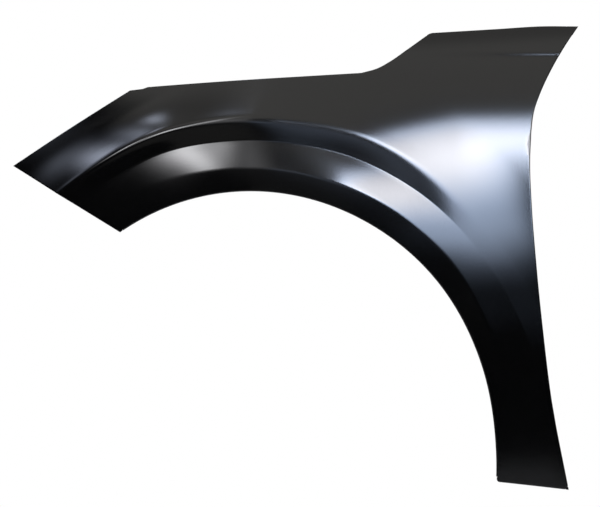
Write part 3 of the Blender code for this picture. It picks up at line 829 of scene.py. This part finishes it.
def flange_hole(name, u, reach, h=2.0):
    """Centre, sheet normal and edge direction of a place on a flange."""
    rows = flange_rows(name, u)
    way = FLANGE_WAY[name]
    here, after = fold_frame(EDGES[name], u)[0], fold_frame(EDGES[name], u + h)[0]
    along = (after - here).normalized()
    along = (along - along.dot(way) * way).normalized()
    centre = rows[-2] + way * (reach - FOLD_RADIUS)
    return centre, along.cross(way).normalized(), along


def tab_hole(name, middle, length, reach):
    """Centre, sheet normal and edge direction of a tab's hole, on the tab's own flat."""
    ends = [flange_rows(name, middle + side * length / 2)[-2] for side in (-1, 1)]
    way = FLANGE_WAY[name]
    along = (ends[1] - ends[0]).normalized()
    centre = (ends[0] + ends[1]) / 2 + way * (reach - TAB_HOLE_SETBACK - FOLD_RADIUS)
    return centre, along.cross(way).normalized(), along


def cut_holes(collection):
    along_x = Vector((1, 0, 0))
    for k, x in enumerate(HOOD_BOLTS):
        slot_cutter(f"hood_bolt_{k}", hood_rail_point(x), HOOD_UP, BOLT_HOLE, BOLT_HOLE, along_x, collection)
    arch = EDGES["arch"]
    for k, angle in enumerate(LINER_HOLE_ANGLES):
        x, z = arch_point(angle)
        u = float(arch.run[np.argmin(np.hypot(arch.line[:, 0] - x, arch.line[:, 1] - z))])
        centre, normal, along = flange_hole("arch", u, ARCH_LIP / 2 + HOLE_PAST_MIDDLE)
        slot_cutter(f"liner_hole_{k}", centre, normal, LINER_HOLE, LINER_HOLE, along, collection)
    for name, places, size, wide in (
        ("bumper", CLIP_PLACES, CLIP_SLOT, BUMPER_FLANGE),
        ("sill", SILL_PLACES, SILL_SLOT, SILL_FLANGE),
        ("tail", TAIL_PLACES, TAIL_SLOT, TAIL_FLANGE),
    ):
        for k, share in enumerate(places):
            reach = wide / 2 + HOLE_PAST_MIDDLE
            centre, normal, along = flange_hole(name, share * EDGES[name].length, reach)
            slot_cutter(f"{name}_slot_{k}", centre, normal, *size, along, collection)
    for name, hole in (("door", BOLT_HOLE), ("lamp", LINER_HOLE)):
        for k, (middle, length, reach) in enumerate(tabs(name)):
            centre, normal, along = tab_hole(name, middle, length, reach)
            slot_cutter(f"{name}_tab_hole_{k}", centre, normal, hole, hole, along, collection)


def primer():
    """Semi-gloss black primer: faint cloudiness, a fine orange peel and a trace of dust."""
    mat, nodes, links = new_material("black_primer_sprayed")
    shader = nodes["Principled BSDF"]
    shader.inputs["Metallic"].default_value = 0.0
    shader.inputs["IOR"].default_value = PRIMER_IOR
    place = nodes.new("ShaderNodeTexCoord")

    cloud = nodes.new("ShaderNodeTexNoise")
    cloud.inputs["Scale"].default_value = CLOUD_SCALE
    cloud.inputs["Detail"].default_value = 3.0
    links.new(place.outputs["Object"], cloud.inputs["Vector"])
    gloss = nodes.new("ShaderNodeMapRange")
    gloss.inputs["From Min"].default_value = CLOUD_RANGE[0]
    gloss.inputs["From Max"].default_value = CLOUD_RANGE[1]
    gloss.inputs["To Min"].default_value = PRIMER_ROUGHNESS[0]
    gloss.inputs["To Max"].default_value = PRIMER_ROUGHNESS[1]
    links.new(cloud.outputs["Fac"], gloss.inputs["Value"])
    links.new(gloss.outputs["Result"], shader.inputs["Roughness"])

    dust = nodes.new("ShaderNodeTexNoise")
    dust.inputs["Scale"].default_value = DUST_SCALE
    dust.inputs["Detail"].default_value = 2.0
    links.new(place.outputs["Object"], dust.inputs["Vector"])
    speck = nodes.new("ShaderNodeValToRGB")
    speck.color_ramp.elements[0].position = DUST_RANGE[0]
    speck.color_ramp.elements[0].color = PRIMER_BLACK
    speck.color_ramp.elements[1].position = DUST_RANGE[1]
    speck.color_ramp.elements[1].color = DUST_GREY
    links.new(dust.outputs["Fac"], speck.inputs["Fac"])
    links.new(speck.outputs["Color"], shader.inputs["Base Color"])

    peel = nodes.new("ShaderNodeTexNoise")
    peel.inputs["Scale"].default_value = PEEL_SCALE
    peel.inputs["Detail"].default_value = 1.0
    links.new(place.outputs["Object"], peel.inputs["Vector"])
    bump = nodes.new("ShaderNodeBump")
    bump.inputs["Strength"].default_value = PEEL_STRENGTH
    bump.inputs["Distance"].default_value = PEEL_HEIGHT
    links.new(peel.outputs["Fac"], bump.inputs["Height"])
    links.new(bump.outputs["Normal"], shader.inputs["Normal"])
    return mat


def make_fender(shift):
    """The sheet with its folds and holes, as one finely divided mesh."""
    points, faces = build_skin()
    mesh = bpy.data.meshes.new("fender")
    mesh.from_pydata([tuple(p * MM) for p in points], [], faces)
    mesh.update()
    fender = place_mesh("fender", mesh, (0, 0, 0))
    cutters = bpy.data.collections.new("fender_cutters")
    bpy.context.scene.collection.children.link(cutters)
    cut_holes(cutters)

    sheet = fender.modifiers.new("sheet", "SOLIDIFY")
    sheet.thickness = SHEET * MM
    sheet.offset = -1.0
    sheet.use_even_offset = True
    holes = fender.modifiers.new("holes", "BOOLEAN")
    holes.operation = "DIFFERENCE"
    holes.solver = "EXACT"
    holes.operand_type = "COLLECTION"
    holes.collection = cutters
    graph = bpy.context.evaluated_depsgraph_get()
    finished = bpy.data.meshes.new_from_object(fender.evaluated_get(graph))
    fender.modifiers.clear()
    fender.data = finished
    finished.name = "fender"
    for cutter in list(cutters.objects):
        bpy.data.objects.remove(cutter, do_unlink=True)
    bpy.data.collections.remove(cutters)
    finished.transform(Matrix.Translation(shift))
    finished.materials.clear()
    finished.materials.append(primer())
    finished.shade_smooth()
    finished.set_sharp_from_angle(angle=math.radians(SHARP_ANGLE))
    return fender


def smooth(low, high, value):
    """0 at low and 1 at high, with soft ends."""
    return ease((value - low) / (high - low))


def direction(azimuth, elevation):
    """Unit vector; the azimuth runs from the camera's side, -Y, towards +X, in degrees."""
    a, e = math.radians(azimuth), math.radians(elevation)
    return Vector((math.cos(e) * math.sin(a), -math.cos(e) * math.cos(a), math.sin(e)))


def soft_glows(glows, tint):
    """Round patches of light that fade outwards: place, spread each way and radiance of each."""

    def glow(azimuth, elevation):
        total = 0.0
        for at_azimuth, at_elevation, wide, tall, radiance in glows:
            out = ((azimuth - at_azimuth) / wide) ** 2 + ((elevation - at_elevation) / tall) ** 2
            total += radiance * math.exp(-out / 2)
        return total * np.array(tint)

    return glow


right_glow = soft_glows(RIGHT_GLOWS, DAYLIGHT)


def window_glow(azimuth, elevation):
    """The tall window to the right: hard along its left and top, trailing off to the right and down."""
    left = WINDOW_LEFT - WINDOW_LEAN * (WINDOW_TOP - elevation)
    across = WINDOW_RADIANCE * min(1.0, math.exp((WINDOW_LEFT + WINDOW_FULL - azimuth) / WINDOW_TRAIL))
    cut_from, cut = WINDOW_CORNER
    top = WINDOW_TOP + WINDOW_LEAN * (azimuth - WINDOW_LEFT) - cut * max(0.0, cut_from - azimuth)
    left_edge = smooth(left - WINDOW_LEFT_SOFT, left + WINDOW_LEFT_SOFT, azimuth)
    top_edge = smooth(top + WINDOW_TOP_SOFT, top - WINDOW_TOP_SOFT, elevation)
    down = sum(share * smooth(low, high, elevation) for low, high, share in WINDOW_FADE)
    from_left, from_top = HEART_IN
    heart = smooth(left, left + from_left, azimuth) * smooth(top, top - from_top, elevation)
    heart *= smooth(*HEART_FADE, elevation)
    colour = np.array(DAYLIGHT) + heart * (np.array(HEART_LIGHT) - np.array(DAYLIGHT))
    return across * (left_edge * top_edge) * down * colour + right_glow(azimuth, elevation)


def glow_panel(name, middle, azimuths, elevations, step, glow):
    """A curved sheet of light at the studio's radius, as bright at each point as its glow says."""
    mesh = bpy.data.meshes.new(name)
    bm = bmesh.new()
    layer = bm.verts.layers.float_color.new("glow")
    rows = []
    for elevation in np.arange(elevations[0], elevations[1] + step / 2, step):
        row = []
        for azimuth in np.arange(azimuths[0], azimuths[1] + step / 2, step):
            vert = bm.verts.new(STUDIO_RADIUS * direction(azimuth, elevation))
            vert[layer] = (*(float(c) for c in glow(azimuth, elevation)), 1.0)
            row.append(vert)
        rows.append(row)
    for a, b in zip(rows[:-1], rows[1:]):
        for k in range(len(a) - 1):
            corners = (a[k], a[k + 1], b[k + 1], b[k])
            if max(max(v[layer][:3]) for v in corners) > FAINTEST_GLOW:
                bm.faces.new(corners)
    bmesh.ops.delete(bm, geom=[v for v in bm.verts if not v.link_faces], context="VERTS")
    bm.to_mesh(mesh)
    bm.free()
    mat, nodes, links = new_material(name)
    nodes.clear()
    out = nodes.new("ShaderNodeOutputMaterial")
    light = nodes.new("ShaderNodeEmission")
    read = nodes.new("ShaderNodeAttribute")
    read.attribute_name = "glow"
    links.new(read.outputs["Color"], light.inputs["Color"])
    clear = nodes.new("ShaderNodeBsdfTransparent")
    both = nodes.new("ShaderNodeAddShader")
    links.new(light.outputs["Emission"], both.inputs[0])
    links.new(clear.outputs["BSDF"], both.inputs[1])
    links.new(both.outputs["Shader"], out.inputs["Surface"])
    mesh.materials.append(mat)
    obj = place_mesh(name, mesh, middle)
    obj.visible_camera = False
    obj.visible_shadow = False
    return obj


def white_world(level):
    """White to the camera and in reflections, and a plain level of light on what is dull."""
    world = bpy.data.worlds.new("white_studio")
    bpy.context.scene.world = world
    world.use_nodes = True
    world.cycles.sampling_method = "NONE"
    nodes, links = world.node_tree.nodes, world.node_tree.links
    back = nodes["Background"]
    back.inputs["Color"].default_value = (1.0, 1.0, 1.0, 1.0)
    path = nodes.new("ShaderNodeLightPath")
    seen = nodes.new("ShaderNodeMath")
    seen.operation = "MAXIMUM"
    links.new(path.outputs["Is Camera Ray"], seen.inputs[0])
    links.new(path.outputs["Is Glossy Ray"], seen.inputs[1])
    either = nodes.new("ShaderNodeMath")
    either.operation = "MAXIMUM"
    links.new(seen.outputs["Value"], either.inputs[0])
    links.new(path.outputs["Is Transmission Ray"], either.inputs[1])
    strength = nodes.new("ShaderNodeMapRange")
    strength.inputs["To Min"].default_value = level
    strength.inputs["To Max"].default_value = 1.0
    links.new(either.outputs["Value"], strength.inputs["Value"])
    links.new(strength.outputs["Result"], back.inputs["Strength"])


def only_in_reflections(obj):
    obj.visible_camera = False
    obj.visible_diffuse = False
    obj.visible_transmission = False
    obj.visible_volume_scatter = False
    obj.visible_shadow = False


def black_cloth(name):
    """Black cloth, worn to a pale warm gauze where its open share says."""
    mat, nodes, links = new_material(name)
    nodes.clear()
    out = nodes.new("ShaderNodeOutputMaterial")
    clear = nodes.new("ShaderNodeBsdfTransparent")
    clear.inputs["Color"].default_value = GAUZE
    cloth = nodes.new("ShaderNodeBsdfDiffuse")
    cloth.inputs["Color"].default_value = (0.0, 0.0, 0.0, 1.0)
    mix = nodes.new("ShaderNodeMixShader")
    share = nodes.new("ShaderNodeAttribute")
    share.attribute_name = "open_share"
    links.new(share.outputs["Fac"], mix.inputs["Fac"])
    links.new(cloth.outputs["BSDF"], mix.inputs[1])
    links.new(clear.outputs["BSDF"], mix.inputs[2])
    links.new(mix.outputs["Shader"], out.inputs["Surface"])
    return mat


def open_share(azimuth, elevation):
    """How much of the white studio shows through the cloth: a pale ceiling and two dim openings."""
    edge = CEILING_EDGE - LEFT_DROP * smooth(*LEFT_FROM, azimuth)
    edge -= RIGHT_DROP * smooth(*RIGHT_FROM, azimuth) * smooth(*RIGHT_TO, azimuth)
    pale = CEILING + (BACK_CEILING - CEILING) * smooth(*BACK_FROM, abs(azimuth))
    ceiling = pale * smooth(edge, edge + CEILING_SOFT, elevation)
    side = SIDE_SHOWS * smooth(*SIDE_SPAN, azimuth) * smooth(*SIDE_RISE, elevation)
    ahead = AHEAD_SHOWS * smooth(*AHEAD_LEFT, azimuth) * smooth(*AHEAD_RIGHT, azimuth)
    top = AHEAD_TOP + AHEAD_TOP_FALL * min(0, azimuth)
    ahead *= smooth(*AHEAD_BOTTOM, elevation) * smooth(top + AHEAD_TOP_SOFT, top - AHEAD_TOP_SOFT, elevation)
    return 1 - (1 - ceiling) * (1 - side) * (1 - ahead)


def black_surround(middle):
    """A round wall of black cloth, for a dark lower half in the reflections."""
    mesh = bpy.data.meshes.new("black_surround")
    bm = bmesh.new()
    layer = bm.verts.layers.float.new("open_share")
    rows = []
    for elevation in range(SURROUND_FOOT, 91, SURROUND_STEPS[1]):
        row = []
        for azimuth in range(-180, 181, SURROUND_STEPS[0]):
            vert = bm.verts.new(SURROUND_RADIUS * direction(azimuth, elevation))
            vert[layer] = float(open_share(azimuth, elevation))
            row.append(vert)
        rows.append(row)
    for a, b in zip(rows[:-1], rows[1:]):
        for k in range(len(a) - 1):
            bm.faces.new((a[k], a[k + 1], b[k + 1], b[k]))
    bm.to_mesh(mesh)
    bm.free()
    mesh.shade_smooth()
    mesh.materials.append(black_cloth("black_cloth"))
    wall = place_mesh("black_surround", mesh, middle)
    only_in_reflections(wall)
    return wall


def black_sheet(place):
    """Black cloth laid in front of the panel, for its lower edge."""
    mesh = bpy.data.meshes.new("black_sheet")
    shown = (FLOOR_SHOWS, FLOOR_SHOWS, 0.0, 0.0)
    sides = (-BLACK_SHEET_HALF, BLACK_SHEET_HALF)
    places = [(x, y, 0.0) for y in BLACK_SHEET_ROWS for x in sides]
    faces = [(2 * k, 2 * k + 2, 2 * k + 3, 2 * k + 1) for k in range(len(shown) - 1)]
    mesh.from_pydata(places, [], faces)
    share = mesh.attributes.new("open_share", "FLOAT", "POINT")
    for k in range(len(places)):
        share.data[k].value = shown[k // 2]
    mesh.materials.append(black_cloth("black_sheet_cloth"))
    obj = place_mesh("black_sheet", mesh, place)
    only_in_reflections(obj)
    return obj


def pale_floor(place):
    """A pale round floor that fades into the white at its rim."""
    mesh = bpy.data.meshes.new("floor")
    bm = bmesh.new()
    bmesh.ops.create_circle(bm, cap_ends=True, segments=FLOOR_SIDES, radius=FLOOR_RADIUS)
    bm.to_mesh(mesh)
    bm.free()
    mat, nodes, links = new_material("pale_floor")
    shader = nodes["Principled BSDF"]
    shader.inputs["Roughness"].default_value = FLOOR_ROUGHNESS
    shader.inputs["Specular IOR Level"].default_value = FLOOR_SPECULAR
    coords = nodes.new("ShaderNodeTexCoord")
    grain = nodes.new("ShaderNodeTexNoise")
    grain.inputs["Scale"].default_value = FLOOR_GRAIN
    links.new(coords.outputs["Object"], grain.inputs["Vector"])
    tone = nodes.new("ShaderNodeMapRange")
    tone.inputs["To Min"].default_value = FLOOR_TONES[0]
    tone.inputs["To Max"].default_value = FLOOR_TONES[1]
    links.new(grain.outputs["Fac"], tone.inputs["Value"])
    links.new(tone.outputs["Result"], shader.inputs["Base Color"])
    away = nodes.new("ShaderNodeVectorMath")
    away.operation = "LENGTH"
    links.new(coords.outputs["Object"], away.inputs[0])
    fade = nodes.new("ShaderNodeMapRange")
    fade.interpolation_type = "SMOOTHERSTEP"
    fade.inputs["From Min"].default_value = FLOOR_FADE[0]
    fade.inputs["From Max"].default_value = FLOOR_FADE[1]
    fade.inputs["To Min"].default_value = 1.0
    fade.inputs["To Max"].default_value = 0.0
    links.new(away.outputs["Value"], fade.inputs["Value"])
    links.new(fade.outputs["Result"], shader.inputs["Alpha"])
    mesh.materials.append(mat)
    return place_mesh("floor", mesh, place)


rail_under = hood_rail_point((HOOD_BOLTS[0] + HOOD_BOLTS[1]) / 2) - SHEET * HOOD_UP
wheel_centre = -rail_under * MM

fender = make_fender(wheel_centre)
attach(fender, "root")
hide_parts("fender_panel")

camera_data = bpy.data.cameras.new("camera")
camera_data.lens = CAMERA_LENS
camera_data.sensor_width = CAMERA_SENSOR
camera_data.clip_end = CAMERA_CLIP
camera = bpy.data.objects.new("camera", camera_data)
camera.location = wheel_centre + Vector(CAMERA_PLACE)
camera.rotation_euler = (math.radians(90), 0, 0)
bpy.context.scene.collection.objects.link(camera)
bpy.context.scene.camera = camera

white_world(WORLD_LEVEL)
middle = wheel_centre + Vector(STUDIO_MIDDLE)
window = glow_panel("window", middle, *WINDOW_PANEL, window_glow)
skylight = glow_panel("skylight", middle, *LEFT_PANEL, soft_glows(LEFT_GLOWS, LEFT_LIGHT))
far_lights = glow_panel("far_lights", middle, *FAR_PANEL, soft_glows(FAR_GLOWS, FAR_LIGHT))
surround = black_surround(middle)
on_floor = wheel_centre - Vector((0, 0, FLOOR_DROP))
cloth = black_sheet(on_floor + Vector(BLACK_SHEET_PLACE) + Vector((0, 0, BLACK_SHEET_LIFT)))
floor = pale_floor(on_floor + Vector(FLOOR_PLACE))

bpy.context.scene.view_settings.view_transform = "Standard"
